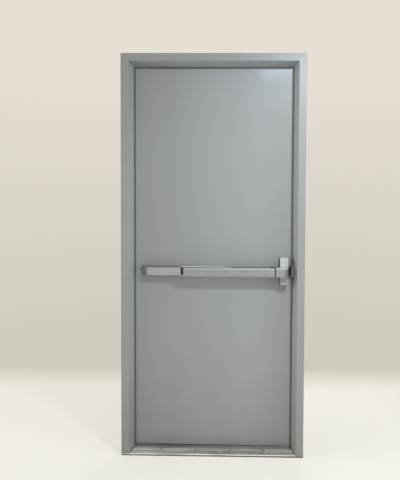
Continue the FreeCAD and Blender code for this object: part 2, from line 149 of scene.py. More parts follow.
filmGrain = {"cloudScale": 1.4, "laneStretch": (9, 9, 0.5), "patchScale": 13, "peelScale": 420,
             "cloudShare": 0.65, "laneShare": 0.35, "liftSpan": (0.35, 0.65), "patchShare": 0.12,
             "rough": (0.35, 0.41)}


def makePaintFilm():
    # rolled enamel: slow clouds in the colour, faint upright roller lanes and a fine orange peel
    group, given, result = startGroup(
        "paintFilm", [("Color", "Color", (0.3, 0.3, 0.3, 1)), ("Cloud", "Float", 0.05)],
        [("Color", "Color"), ("Roughness", "Float"), ("Height", "Float")])
    place = objectPlace(group)
    clouds = noise(group, place, filmGrain["cloudScale"], 2)
    lanes = noise(group, objectPlace(group, filmGrain["laneStretch"]), 1, 2)
    patches = noise(group, place, filmGrain["patchScale"], 4)
    blend = plus(group, times(group, clouds, filmGrain["cloudShare"]),
                 times(group, lanes, filmGrain["laneShare"]))
    lift = times(group, stretch(group, blend, *filmGrain["liftSpan"], -1, 1), given["Cloud"])
    toned = mixColour(group, 1.0, given["Color"], plus(group, lift, 1.0), "MULTIPLY")
    peel = noise(group, place, filmGrain["peelScale"], 1)
    height = plus(group, peel, times(group, patches, filmGrain["patchShare"]))
    rough = stretch(group, patches, *noiseSpan, *filmGrain["rough"])
    return endGroup(group, result, {"Color": toned, "Roughness": rough, "Height": height})


grimeEdge = {"patchScale": 16, "patchSpan": (0.3, 0.75), "patchLeast": 0.55}


def makeFloorGrime():
    # dirt that climbs from the floor, thinning out upwards in ragged patches
    group, given, result = startGroup("floorGrime", [("Rise", "Float", 0.3)], [("Mask", "Float")])
    place = objectPlace(group)
    up = axesOf(group, place)[2]
    near = minus(group, 1.0, calc(group, "DIVIDE", up, given["Rise"]))
    patches = noise(group, place, grimeEdge["patchScale"], 6)
    ragged = stretch(group, patches, *grimeEdge["patchSpan"], grimeEdge["patchLeast"], 1)
    return endGroup(group, result, {"Mask": stretch(group, times(group, near, ragged), 0.0, 1.0)})


lineRun = 1.5  # fineness of drawn lines along their length


def makeDrawnLines():
    # the fine lengthwise lines of drawn or brushed metal
    group, given, result = startGroup("drawnLines", [("Fineness", "Float", 300)], [("Lines", "Float")])
    fine = given["Fineness"]
    across = addNode(group, "ShaderNodeCombineXYZ", {0: lineRun, 1: fine, 2: fine}).outputs[0]
    sockets = {0: objectCoord(group), 1: across}
    place = addNode(group, "ShaderNodeVectorMath", sockets, operation="MULTIPLY").outputs[0]
    return endGroup(group, result, {"Lines": noise(group, place, 1, 4)})


scuffStroke = {"turnsAndSeeds": ((0.35, 0.0), (-0.5, 3.1), (1.2, 7.7)), "stretch": (6, 160, 30),
               "span": (0.66, 0.74)}


def makeScuffs():
    # short scratches that run every way: thin bands of a turned, drawn-out noise
    group, given, result = startGroup("scuffs", [("Density", "Float", 0.5)], [("Mask", "Float")])
    bands = []
    for turn, seed in scuffStroke["turnsAndSeeds"]:
        place = addNode(group, "ShaderNodeMapping", {
            0: objectCoord(group), "Location": (seed, seed, 0), "Rotation": (0, 0, turn),
            "Scale": scuffStroke["stretch"]}).outputs[0]
        bands.append(stretch(group, noise(group, place, 1, 2), *scuffStroke["span"]))
    return endGroup(group, result, {"Mask": times(group, most(group, *bands), given["Density"])})


paintFilm = makePaintFilm()
floorGrime = makeFloorGrime()
drawnLines = makeDrawnLines()
scuffs = makeScuffs()


def startMaterial(name):
    material = bpy.data.materials.new(name)
    material.use_nodes = True
    tree = material.node_tree
    tree.nodes.clear()
    shader = addNode(tree, "ShaderNodeBsdfPrincipled")
    addNode(tree, "ShaderNodeOutputMaterial", {"Surface": shader.outputs[0]})
    return material, tree, shader


def feed(tree, shader, colour, roughness, height=None, depth=0.0, strength=0.3):
    tree.links.new(colour, shader.inputs["Base Color"])
    tree.links.new(roughness, shader.inputs["Roughness"])
    if height is not None:
        bump = addNode(tree, "ShaderNodeBump", {"Height": height, "Distance": depth, "Strength": strength})
        tree.links.new(bump.outputs[0], shader.inputs["Normal"])


# the side, behind and below spans place painted shade on a piece
paintWearAndShade = {"grimeRough": 0.15, "glossRough": 0.1, "nickScale": 260, "nickRag": 0.7, "nickEdge": 1.2,
             "lowSpan": (0.001, 0.0005), "highSpan": (-0.001, -0.0005), "behindSpan": (0.003, 0.005),
             "dullAndShadeSpan": (0, -0.03), "dullAndShadeShare": 0.7}


def paintedShadeSides(tree, colour, look):
    # painted shade: the sides and bottom behind the front face are darkened, and the part below the middle is
    # darker
    low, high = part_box(look["paintedShadeSides"])
    axes = axesOf(tree, objectPlace(tree))
    beside = most(tree, stretch(tree, axes[0], *spanFrom(low.x, paintWearAndShade["lowSpan"])),
                  stretch(tree, axes[0], *spanFrom(high.x, paintWearAndShade["highSpan"])),
                  stretch(tree, axes[2], *spanFrom(low.z, paintWearAndShade["lowSpan"])))
    behind = stretch(tree, axes[1], *spanFrom(low.y, paintWearAndShade["behindSpan"]))
    below = spanFrom((low.z + high.z) / 2, paintWearAndShade["dullAndShadeSpan"])
    colour = mixColour(tree, stretch(tree, axes[2], *below, 0, paintWearAndShade["dullAndShadeShare"]), colour, look["dullAndShade"])
    return mixColour(tree, times(tree, beside, behind), colour, look["dirtAndShade"])


def paintedSteel(name, look):
    material, tree, shader = startMaterial(name)
    film = useGroup(tree, paintFilm, {"Color": look["colour"], "Cloud": look["cloud"]})
    grime = useGroup(tree, floorGrime, {"Rise": look["grimeRise"]})["Mask"]
    colour = mixColour(tree, times(tree, grime, look["grime"]), film["Color"], look["dirtAndShade"])
    rough = plus(tree, film["Roughness"], times(tree, grime, paintWearAndShade["grimeRough"]))
    for spot, radius in look.get("nicks", []):  # where the coat is knocked off
        coord = objectCoord(tree)
        away = addNode(tree, "ShaderNodeVectorMath", {0: coord, 1: spot}, operation="DISTANCE")
        rag = times(tree, noise(tree, coord, paintWearAndShade["nickScale"], 2), radius * paintWearAndShade["nickRag"])
        ragged = plus(tree, away.outputs["Value"], rag)
        nick = stretch(tree, ragged, radius * paintWearAndShade["nickEdge"], radius)
        colour = mixColour(tree, nick, colour, look["bare"])
    # painted shade on the sides, bottom and lower half of a piece
    if "paintedShadeSides" in look:
        colour = paintedShadeSides(tree, colour, look)
    feed(tree, shader, colour, rough, film["Height"], look["peel"])
    shader.inputs["Coat Weight"].default_value = look.get("gloss", 0)
    shader.inputs["Coat Roughness"].default_value = paintWearAndShade["glossRough"]
    return material


paints = {
    "leafPaint": {"colour": shade(149, 152, 153), "cloud": 0.035, "dirtAndShade": shade(116, 107, 93), "grime": 0.31,
                  "grimeRise": 0.6, "peel": 0.00025, "gloss": 0.2},
    "framePaint": {"colour": shade(146, 148, 146), "cloud": 0.04, "dirtAndShade": shade(112, 105, 92), "grime": 0.45,
                   "grimeRise": 0.5, "peel": 0.00025, "bare": shade(176, 178, 175),
                   "nicks": [((-0.4428, 0.004, 0.205), 0.0055), ((0.497, -0.0575, 0.165), 0.004)]},
    "primer": {"colour": shade(122, 124, 122), "cloud": 0.08, "dirtAndShade": shade(96, 92, 84), "grime": 0.3,
               "grimeRise": 0.4, "peel": 0.0003},
    # painted shade: the dark colour on the sides and the dull grey below the head
    "chassisPaint": {"colour": shade(184, 188, 191), "cloud": 0.03, "dirtAndShade": shade(70, 71, 72), "grime": 0.0,
                     "grimeRise": 0.3, "peel": 0.00015, "paintedShadeSides": "latch_chassis",
                     "dullAndShade": shade(140, 141, 137)},
    # partly painted shade: the keeper's near-black also stands in for the shaded latch hole
    "keeperBlackAndShade": {"colour": shade(22, 22, 23), "cloud": 0.2, "dirtAndShade": shade(60, 58, 54), "grime": 0.0,
                    "grimeRise": 0.3, "peel": 0.0003},
}
paints["pullPaint"] = {**paints["leafPaint"], "gloss": 0}  # the pull side is flatter

# the last spans place painted shade on a free end and a painted highlight on upper edges
brushWearAndPaintedLight = {"hazeScale": 18, "hazeSpan": (0.5, 0.75), "hazeRough": 0.06, "lineRough": (-0.05, 0.06),
             "lineDepth": 0.00006, "paintedEndShadeSpan": (-0.03, -0.004), "paintedEndShadeShare": 0.95,
             "paintedSheenTop": (-0.004, -0.001), "paintedSheenFront": (0.03, 0.006)}


def railTopHighlightAndShade(tree, axes, toned, look):
    # the rail's top: a painted highlight on its free half, painted shade of the gap along the pad and a slanting
    # one by the head
    low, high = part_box(look["seamOn"])
    back = minus(tree, axes[1], low.y)
    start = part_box(look["seamStart"])[0].x
    free = times(tree, stretch(tree, axes[0], *spanFrom(start, look["startSpan"])),
                 stretch(tree, axes[0], *look["seamFade"]))
    highlightStrip = times(tree, free, stretch(tree, back, *look["stripSpan"]))
    toned = mixColour(tree, highlightStrip, toned, look["railHighlight"])
    padGapShade = times(tree, free, stretch(tree, back, *look["lipSpan"]))
    half = look["seamWidth"] / 2
    lean = plus(tree, times(tree, back, look["seamLean"]), axes[0])
    off = unsigned(tree, minus(tree, lean, high.x - half))
    slantShade = stretch(tree, off, half + look["seamSoft"], half)
    upper = stretch(tree, axes[2], *spanFrom(high.z, look["topSpan"]))
    return mixColour(tree, times(tree, most(tree, padGapShade, slantShade), upper), toned, look["seam"])


def brushedMetal(name, look):
    material, tree, shader = startMaterial(name)
    lines = useGroup(tree, drawnLines, {"Fineness": look["fineness"]})["Lines"]
    marks = useGroup(tree, scuffs, {"Density": look["scuffs"]})["Mask"]
    place = objectPlace(tree)
    axes = axesOf(tree, place)
    haze = noise(tree, place, brushWearAndPaintedLight["hazeScale"], 4)
    hazed = times(tree, stretch(tree, haze, *brushWearAndPaintedLight["hazeSpan"]), look["haze"])
    toned = mixColour(tree, stretch(tree, lines, *noiseSpan), look["dark"], look["light"])
    toned = mixColour(tree, hazed, toned, look["dullAndShade"])
    toned = mixColour(tree, marks, toned, look["scratch"])
    if "paintedEndShade" in look:  # painted shade: the free end is darker
        end = spanFrom(look["paintedEndShadeFrom"], brushWearAndPaintedLight["paintedEndShadeSpan"])
        paintedEndShaded = stretch(tree, axes[0], *end, 0, brushWearAndPaintedLight["paintedEndShadeShare"])
        toned = mixColour(tree, paintedEndShaded, toned, look["paintedEndShade"])
    if "paintedSheen" in look:  # painted highlight: the upper front edges are lighter
        upper = stretch(tree, axes[2], *spanFrom(look["paintedSheenFrom"].z, brushWearAndPaintedLight["paintedSheenTop"]))
        ahead = stretch(tree, axes[1], *spanFrom(look["paintedSheenFrom"].y, brushWearAndPaintedLight["paintedSheenFront"]))
        toned = mixColour(tree, times(tree, upper, ahead), toned, look["paintedSheen"])
    # painted highlight and painted shade on the rail's top
    if "seam" in look:
        toned = railTopHighlightAndShade(tree, axes, toned, look)
    lined = stretch(tree, lines, *noiseSpan, *spanFrom(look["rough"], brushWearAndPaintedLight["lineRough"]))
    rough = plus(tree, lined, times(tree, haze, brushWearAndPaintedLight["hazeRough"]))
    feed(tree, shader, toned, rough, lines, brushWearAndPaintedLight["lineDepth"])
    shader.inputs["Metallic"].default_value = look["metal"]
    return material


metals = {
    # its lighter top colour is a painted highlight on the upper edges
    "barBrushed": {"dark": shade(150, 152, 155), "light": shade(174, 176, 180), "dullAndShade": shade(144, 145, 146),
                   "scratch": shade(214, 214, 214), "fineness": 520, "scuffs": 0.12, "haze": 0.35,
                   "rough": 0.44, "metal": 0.7, "paintedSheen": shade(206, 208, 212),
                   "paintedSheenFrom": Vector((0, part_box("push_pad")[0].y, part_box("push_pad")[1].z))},
    # its light top colour is a painted highlight, its near-black colour painted shade of the gaps
    "railBrushed": {"dark": shade(112, 114, 117), "light": shade(130, 132, 136), "dullAndShade": shade(108, 109, 110),
                    "scratch": shade(170, 170, 170), "fineness": 520, "scuffs": 0.12, "haze": 0.35,
                    "rough": 0.5, "metal": 0.1, "railHighlight": shade(222, 225, 229), "seam": shade(22, 22, 24),
                    "seamOn": "bar_rail", "seamStart": "rail_guide", "startSpan": (-0.002, 0),
                    "seamFade": (0.11, 0.03), "seamWidth": 0.007, "seamLean": 0.35, "seamSoft": 0.0005,
                    "stripSpan": (0.036, 0.032), "lipSpan": (0.012, 0.01), "topSpan": (-0.0035, -0.003)},
    # its lighter top colour is a painted highlight, its dark end colour painted shade
    "headCast": {"dark": shade(144, 146, 148), "light": shade(160, 162, 164), "dullAndShade": shade(138, 139, 140),
                 "scratch": shade(206, 206, 206), "fineness": 420, "scuffs": 0.1, "haze": 0.35,
                 "rough": 0.52, "metal": 0.35, "paintedSheen": shade(194, 196, 199),
                 "paintedEndShade": shade(70, 71, 73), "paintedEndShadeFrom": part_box("latch_head_cover")[1].x,
                 "paintedSheenFrom": Vector((0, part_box("latch_head_cover")[0].y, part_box("latch_head_cover")[1].z))},
    "coverBrushed": {"dark": shade(162, 166, 165), "light": shade(184, 188, 187),
                     "dullAndShade": shade(156, 158, 156), "scratch": shade(214, 214, 214), "fineness": 520,
                     "scuffs": 0.12, "haze": 0.3, "rough": 0.46, "metal": 0.55},
    "strikeSteel": {"dark": shade(140, 142, 143), "light": shade(162, 164, 165), "dullAndShade": shade(124, 125, 124),
                    "scratch": shade(200, 200, 200), "fineness": 300, "scuffs": 0.3, "haze": 0.4,
                    "rough": 0.5, "metal": 0.3},
    "hingeSteel": {"dark": shade(150, 151, 152), "light": shade(182, 183, 184), "dullAndShade": shade(128, 126, 120),
                   "scratch": shade(220, 220, 220), "fineness": 400, "scuffs": 0.2, "haze": 0.4,
                   "rough": 0.36, "metal": 0.9},
    # painted shade: the bolt's steel is darkened to the shade in the latch hole
    "boltSteelShaded": {"dark": shade(46, 46, 48), "light": shade(64, 64, 66), "dullAndShade": shade(38, 36, 34),
                  "scratch": shade(120, 120, 120), "fineness": 300, "scuffs": 0.3, "haze": 0.5,
                  "rough": 0.4, "metal": 0.6},
}

mouldWear = {"wearScale": 30, "dustSpan": (0.58, 0.75), "wearRough": (-0.06, 0.08), "grainDepth": 0.0001}


def mouldedPlastic(name, look):
    material, tree, shader = startMaterial(name)
    place = objectPlace(tree)
    grain = noise(tree, place, look["grain"], 2)
    wear = noise(tree, place, mouldWear["wearScale"], 5)
    toned = mixColour(tree, stretch(tree, grain, *noiseSpan), look["dark"], look["light"])
    dusted = stretch(tree, wear, *mouldWear["dustSpan"], 0, look["dusty"])
    toned = mixColour(tree, dusted, toned, look["dust"])
    rough = stretch(tree, wear, *noiseSpan, *spanFrom(look["rough"], mouldWear["wearRough"]))
    feed(tree, shader, toned, rough, grain, mouldWear["grainDepth"])
    return material


plastics = {
    "capPlastic": {"dark": shade(116, 120, 118), "light": shade(136, 140, 138), "dust": shade(150, 150, 144),
                   "dusty": 0.25, "grain": 700, "rough": 0.5},
    # painted shade: this near-black stands in for the shade in the gaps beside the pad
    "gapShadePlastic": {"dark": shade(16, 16, 17), "light": shade(28, 28, 29), "dust": shade(80, 79, 75),
                     "dusty": 0.15, "grain": 600, "rough": 0.45},
    "sealRubber": {"dark": shade(84, 88, 88), "light": shade(100, 104, 104), "dust": shade(124, 125, 121),
                   "dusty": 0.3, "grain": 240, "rough": 0.75},
}

zincWear = {"bloomScale": 24, "bloomSpan": (0.55, 0.75), "bloomShare": 0.5, "bloomRough": (0, 0.15),
            "spangleDepth": 0.00003}


def zincCoat(name, look):
    # galvanised or plated sheet: crystal spangles with white bloom
    material, tree, shader = startMaterial(name)
    place = objectPlace(tree)
    cells = addNode(tree, "ShaderNodeTexVoronoi", {"Vector": place, "Scale": look["spangle"]})
    tone = addNode(tree, "ShaderNodeSeparateColor", {0: cells.outputs["Color"]}).outputs[0]
    bloom = noise(tree, place, zincWear["bloomScale"], 5)
    toned = mixColour(tree, tone, look["dark"], look["light"])
    bloomed = stretch(tree, bloom, *zincWear["bloomSpan"], 0, zincWear["bloomShare"])
    toned = mixColour(tree, bloomed, toned, look["bloom"])
    rough = stretch(tree, bloom, *noiseSpan, *spanFrom(look["rough"], zincWear["bloomRough"]))
    feed(tree, shader, toned, rough, tone, zincWear["spangleDepth"])
    shader.inputs["Metallic"].default_value = look["metal"]
    return material


zincs = {
    "strapZinc": {"dark": shade(146, 150, 152), "light": shade(190, 194, 196), "bloom": shade(206, 206, 202),
                  "spangle": 130, "rough": 0.35, "metal": 0.8},
    "screwZinc": {"dark": shade(150, 151, 150), "light": shade(184, 185, 184), "bloom": shade(120, 116, 108),
                  "spangle": 500, "rough": 0.34, "metal": 0.9},
}


def honeycombBoard(name, look):
    material, tree, shader = startMaterial(name)
    place = objectPlace(tree)
    sockets = {"Vector": place, "Scale": look["cells"], "Randomness": look["uneven"]}
    cells = addNode(tree, "ShaderNodeTexVoronoi", sockets, feature="DISTANCE_TO_EDGE").outputs[0]
    walls = stretch(tree, cells, *look["wallSpan"])
    fibre = noise(tree, place, look["fibre"], 4)
    toned = mixColour(tree, fibre, look["dark"], look["light"])
    toned = mixColour(tree, walls, toned, look["wall"])
    feed(tree, shader, toned, stretch(tree, fibre, *noiseSpan, *look["rough"]), walls, look["wallDepth"])
    return material


boards = {
    "coreBoard": {"dark": shade(150, 118, 80), "light": shade(184, 150, 108), "wall": shade(128, 98, 66),
                  "cells": 45, "uneven": 0.15, "wallSpan": (0.08, 0.02), "wallDepth": 0.001, "fibre": 160,
                  "rough": (0.8, 0.95)},
}


def wornSill(name, look):
    # bare metal tread: brown dirt in the middle, darker under and just in front of the leaf,
    # dark dirt in the flutes, painted shade along the foot and by the jambs, a front edge rubbed bright
    material, tree, shader = startMaterial(name)
    low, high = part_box("sill")
    axes = axesOf(tree, objectCoord(tree))
    lines = useGroup(tree, drawnLines, {"Fineness": look["fineness"]})["Lines"]
    marks = useGroup(tree, scuffs, {"Density": look["scuffs"]})["Mask"]
    patch = noise(tree, objectPlace(tree, look["patchStretch"]), 1, 6)
    toned = mixColour(tree, stretch(tree, lines, *look["lineSpan"]), look["dark"], look["light"])
    middle = times(tree, stretch(tree, axes[0], *look["soilLeft"]),
                   stretch(tree, axes[0], *look["soilRight"]))
    soil = times(tree, plus(tree, middle, look["soilLeast"]),
                 stretch(tree, patch, *look["patchSpan"], look["patchLeast"], 1))
    toned = mixColour(tree, times(tree, soil, look["soil"]), toned, look["brown"])
    # darker along the back, under and just in front of the leaf
    under = stretch(tree, axes[1], *spanFrom(low.y, look["underSpan"]), 0, look["underShare"])
    toned = mixColour(tree, under, toned, look["black"])
    edge = stretch(tree, plus(tree, axes[1], times(tree, patch, look["edgeRag"])),
                   *spanFrom(low.y, look["edgeSpan"]))
    trodden = stretch(tree, axes[0], *look["treadSpan"], *look["treadShare"])  # fewer feet by the hinges
    toned = mixColour(tree, times(tree, edge, trodden), toned, look["rubbed"])
    toned = mixColour(tree, marks, toned, look["scratch"])
    # painted shade along the foot of the front face
    foot = stretch(tree, minus(tree, axes[2], times(tree, patch, look["footRag"])), *look["footSpan"])
    toned = mixColour(tree, foot, toned, look["black"])
    sunk = stretch(tree, axes[2], *spanFrom(high.z, look["sunkSpan"]))
    onTop = stretch(tree, axes[1], *spanFrom(low.y, look["topSpan"]))
    toned = mixColour(tree, times(tree, sunk, onTop, look["sunkShare"]), toned, look["black"])
    # painted shade in the corners where the tread meets the jambs
    inward = times(tree, minus(tree, axes[1], low.y), look["splay"])
    clear = minus(tree, look["opening"], inward, unsigned(tree, axes[0]))  # how far off the jamb
    corner = times(tree, stretch(tree, clear, *look["cornerSpan"]),
                   stretch(tree, clear, *look["jambSpan"]), onTop)
    toned = mixColour(tree, corner, toned, look["jambShade"])
    rough = plus(tree, stretch(tree, lines, *noiseSpan, *look["rough"]), times(tree, soil, look["soilRough"]))
    feed(tree, shader, toned, rough, lines, look["lineDepth"], look["lineStrength"])
    metal = stretch(tree, soil, 0.0, 1.0, look["metal"], look["soilMetal"])
    tree.links.new(metal, shader.inputs["Metallic"])
    return material


treads = {
    "sillMetal": {"dark": shade(194, 192, 186), "light": shade(228, 226, 220), "brown": shade(132, 128, 121),
                  "black": shade(90, 88, 83), "rubbed": shade(232, 230, 224), "scratch": shade(222, 221, 216),
                  "jambShade": shade(46, 45, 43), "fineness": 190, "lineSpan": (0.28, 0.72), "scuffs": 0.45,
                  "lineDepth": 0.00015, "lineStrength": 0.5, "metal": 0.15, "rough": (0.36, 0.5),
                  "soil": 0.88, "soilLeft": (-0.37, -0.28), "soilRight": (0.63, 0.28), "soilLeast": 0.12,
                  "soilRough": 0.2, "soilMetal": 0.02, "patchStretch": (3, 14, 14),
                  "patchSpan": (0.35, 0.65), "patchLeast": 0.5, "underSpan": (0.048, 0.06), "underShare": 0.6,
                  "edgeSpan": (0.011, 0.005), "edgeRag": 0.006, "treadSpan": (-0.25, -0.05),
                  "treadShare": (0.25, 0.95), "footSpan": (0.0045, 0.002), "footRag": 0.008,
                  "sunkSpan": (-0.0002, -0.0009), "sunkShare": 0.6, "topSpan": (0.005, 0.008),
                  "opening": 0.46, "splay": 18 / 65, "cornerSpan": (0.007, 0.002),
                  "jambSpan": (-0.004, -0.002)},
}

finishes = {}
for make, looks in ((paintedSteel, paints), (brushedMetal, metals), (mouldedPlastic, plastics),
                    (zincCoat, zincs), (honeycombBoard, boards), (wornSill, treads)):
    for name, look in looks.items():
        finishes[name] = make(name, look)

wearing = {  # parts of node names
    "framePaint": ["hinge_jamb", "strike_jamb", "frame_head"],
    "leafPaint": ["leaf_push_skin"], "pullPaint": ["leaf_pull_skin"],
    "primer": ["leaf_top_channel", "leaf_bottom_channel", "hinge_backing"],
    "coreBoard": ["leaf_core"], "sillMetal": ["sill"], "sealRubber": ["seal"], "strapZinc": ["strap"],
    "hingeSteel": ["hinge_frame_plate", "hinge_leaf_plate", "hinge_pin"],
    "strikeSteel": ["strike_plate"], "coverBrushed": ["rail_cover"],
    "barBrushed": ["push_pad", "pad_left_end", "pad_right_end"], "railBrushed": ["bar_rail"],
    "headCast": ["latch_head_cover"],
    "boltSteelShaded": ["latch_bolt", "pad_carrier"], "chassisPaint": ["latch_chassis"],
    "capPlastic": ["bar_end_cap"], "gapShadePlastic": ["rail_guide"], "keeperBlackAndShade": ["strike_keeper"],
}
for finish, names in wearing.items():
    for node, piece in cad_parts.items():
        if any(name in node for name in names):
            piece.data.materials.clear()
            piece.data.materials.append(finishes[finish])
print("finishes:", len(finishes))


def pickNothing():
    if bpy.context.mode != "OBJECT":
        bpy.ops.object.mode_set(mode="OBJECT")
    bpy.ops.object.select_all(action="DESELECT")


def pickOnly(piece):
    pickNothing()
    piece.select_set(True)
    bpy.context.view_layer.objects.active = piece


def pickFaces(piece, wanted):
    bpy.ops.object.mode_set(mode="EDIT")
    bpy.ops.mesh.select_mode(type="FACE")
    bpy.ops.mesh.select_all(action="DESELECT")
    mesh = bmesh.from_edit_mesh(piece.data)
    for face in mesh.faces:
        face.select = wanted(face)
    mesh.select_flush_mode()
    bmesh.update_edit_mesh(piece.data)


def smoothEdges(piece):
    pickOnly(piece)
    bpy.ops.object.shade_smooth_by_angle(angle=smoothAngle)


def raiseTop(piece, rings, radius, rise):
    # ring by ring, insets the top by a part of the radius and lifts it by a part of the rise
    pickFaces(piece, lambda face: face.normal.z > squareOn)
    for inset, lift in rings:
        bpy.ops.mesh.inset(thickness=radius * inset)
        bpy.ops.transform.translate(value=(0, 0, rise * lift))
    pickNothing()


def cutSlot(piece, size, height, turn=0.0):
    bpy.ops.mesh.primitive_cube_add(size=1, location=(0, 0, height), rotation=(0, 0, turn))
    cutter = bpy.context.object
    cutter.scale = size
    cut = piece.modifiers.new("cut", "BOOLEAN")
    cut.operation, cut.solver, cut.object = "DIFFERENCE", "EXACT", cutter
    pickOnly(piece)
    bpy.ops.object.modifier_apply(modifier=cut.name)
    bpy.data.objects.remove(cutter)


crossHead = {"sides": 28, "rings": ((0.18, 0.5), (0.3, 0.5)), "armLength": 1.05, "armWidth": 0.26}


def crossScrew(look):
    # a low crowned head with a cross recess, standing on the origin and facing up
    pickNothing()
    bpy.ops.mesh.primitive_cone_add(vertices=crossHead["sides"], radius1=look["foot"], radius2=look["radius"],
                                    depth=look["sunk"], location=(0, 0, -look["sunk"] / 2))
    screw = bpy.context.object
    raiseTop(screw, crossHead["rings"], look["radius"], look["crown"])
    arm = (look["radius"] * crossHead["armLength"], look["radius"] * crossHead["armWidth"],
           look["recess"] * 2)
    for turn in (0, math.pi / 2):
        cutSlot(screw, arm, look["crown"], turn)
    smoothEdges(screw)
    return screw


domeHead = {"sides": 36, "rings": ((0.12, 0.45), (0.2, 0.35), (0.3, 0.2)), "slotLength": 3,
            "slotWidth": 0.24}


def domeNut(look):
    # the barrel nut of a through bolt: a shallow dome with a slot
    pickNothing()
    bpy.ops.mesh.primitive_cylinder_add(vertices=domeHead["sides"], radius=look["radius"], depth=look["rim"],
                                        location=(0, 0, look["rim"] / 2))
    nut = bpy.context.object
    raiseTop(nut, domeHead["rings"], look["radius"], look["dome"])
    slot = (look["radius"] * domeHead["slotLength"], look["radius"] * domeHead["slotWidth"],
            look["slot"] * 2)
    cutSlot(nut, slot, look["rim"] + look["dome"])
    smoothEdges(nut)
    return nut


def setAround(master, name, spots, body, finish):
    # copies of a fastener at (place, facing, turn), each with its own mesh
    for number, (place, facing, turn) in enumerate(spots, 1):
        copy = master.copy()
        copy.data = master.data.copy()
        copy.name = copy.data.name = name + "_" + str(number)
        scene.collection.objects.link(copy)
        lean = Vector(facing).to_track_quat("Z", "Y").to_matrix().to_4x4()
        copy.matrix_world = Matrix.Translation(place) @ lean @ Matrix.Rotation(turn, 4, "Z")
        pickOnly(copy)
        bpy.ops.object.transform_apply(location=True, rotation=True, scale=True)
        copy.data.materials.clear()
        copy.data.materials.append(finishes[finish])
        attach(copy, body)


sillScrew = {"radius": 0.0063, "foot": 0.0032, "sunk": 0.003, "crown": 0.0002, "recess": 0.0016, "count": 4,
             "spacing": 0.19, "inset": 0.0405, "drop": 0.0006, "turn": 0.4, "turnStep": 1.1}
low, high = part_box("sill")
screw = crossScrew(sillScrew)
spots = []
for i in range(sillScrew["count"]):
    along = (i - (sillScrew["count"] - 1) / 2) * sillScrew["spacing"]
    place = (along, low.y + sillScrew["inset"], high.z - sillScrew["drop"])
    spots.append((place, (0, 0, 1), sillScrew["turn"] + sillScrew["turnStep"] * i))
setAround(screw, "sill_screw", spots, "frame", "screwZinc")
bpy.data.objects.remove(screw)
print("sill screws set")

hingeScrew = {"radius": 0.0046, "foot": 0.003, "sunk": 0.0012, "crown": 0.0007, "recess": 0.0014,
              "rows": (-0.042, -0.0145, 0.0145, 0.042), "columns": (0.010, 0.025), "proud": 0.0001,
              "halfGap": 0.0025, "turn": 0.5}
screw = crossScrew(hingeScrew)
for level in ("low", "middle", "high"):
    for kind, body, side in (("frame_plate", "frame", -1), ("leaf_plate", "leaf", 1)):
        low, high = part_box(level + "_hinge_" + kind)
        pinLow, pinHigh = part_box(level + "_hinge_pin")
        axisX, middle = (pinLow.x + pinHigh.x) / 2, (low.z + high.z) / 2
        face = axisX + side * hingeScrew["halfGap"]  # each plate stands half the side gap from the pin's line
        spots = [((face - side * hingeScrew["proud"], low.y + hingeScrew["columns"][i % 2], middle + row),
                  (-side, 0, 0), hingeScrew["turn"] + i) for i, row in enumerate(hingeScrew["rows"])]
        setAround(screw, level + "_hinge_" + kind + "_screw", spots, body, "screwZinc")
bpy.data.objects.remove(screw)
print("hinge screws set")

deviceScrew = {"radius": 0.0042, "foot": 0.003, "sunk": 0.001, "crown": 0.0008, "recess": 0.0014,
               "strikeRows": (-0.022, 0.022), "strikeAhead": 0.008, "strikeTurn": 0.7, "strikeTwist": 40,
               "plateSheet": 0.002, "splay": 18 / 65, "capLand": 0.011, "capTip": 0.014, "capTurn": 0.3}
screw = crossScrew(deviceScrew)
low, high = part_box("strike_plate")
faceX = high.x - deviceScrew["plateSheet"] - deviceScrew["splay"] * deviceScrew["strikeAhead"]
spots = [((faceX, low.y + deviceScrew["strikeAhead"], (low.z + high.z) / 2 + row),
          (-1, -deviceScrew["splay"], 0), deviceScrew["strikeTurn"] + row * deviceScrew["strikeTwist"])
         for row in deviceScrew["strikeRows"]]
setAround(screw, "strike_screw", spots, "frame", "screwZinc")
low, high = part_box("bar_end_cap")  # one screw in the middle of the cap's slope
slope = Vector((low.x - (high.x - deviceScrew["capLand"]), (high.y - deviceScrew["capTip"]) - low.y, 0))
foot = Vector((high.x - deviceScrew["capLand"], low.y, (low.z + high.z) / 2))
spots = [(foot + slope / 2, (-slope.y, slope.x, 0), deviceScrew["capTurn"])]
setAround(screw, "end_cap_screw", spots, "leaf", "screwZinc")
bpy.data.objects.remove(screw)
print("device screws set")

throughBolt = {"radius": 0.0085, "rim": 0.0012, "dome": 0.0022, "slot": 0.001, "chassisRows": (-0.058, 0.058),
               "capAlong": 0.045, "turn": 0.3, "turnStep": 0.9}
nut = domeNut(throughBolt)
low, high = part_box("latch_chassis")
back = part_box("leaf_pull_skin")[1].y
barZ, chassisX = (low.z + high.z) / 2, (low.x + high.x) / 2
places = [(chassisX, back, barZ + row) for row in throughBolt["chassisRows"]]
places.append((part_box("bar_rail")[0].x + throughBolt["capAlong"], back, barZ))
spots = [(place, (0, 1, 0), throughBolt["turn"] + throughBolt["turnStep"] * i)
         for i, place in enumerate(places)]
setAround(nut, "through_bolt_nut", spots, "leaf", "hingeSteel")
bpy.data.objects.remove(nut)
print("through bolts set")

gapShadePlate = {"thick": 0.0035, "shy": 0.002, "edge": 0.0008, "edgeSteps": 3}


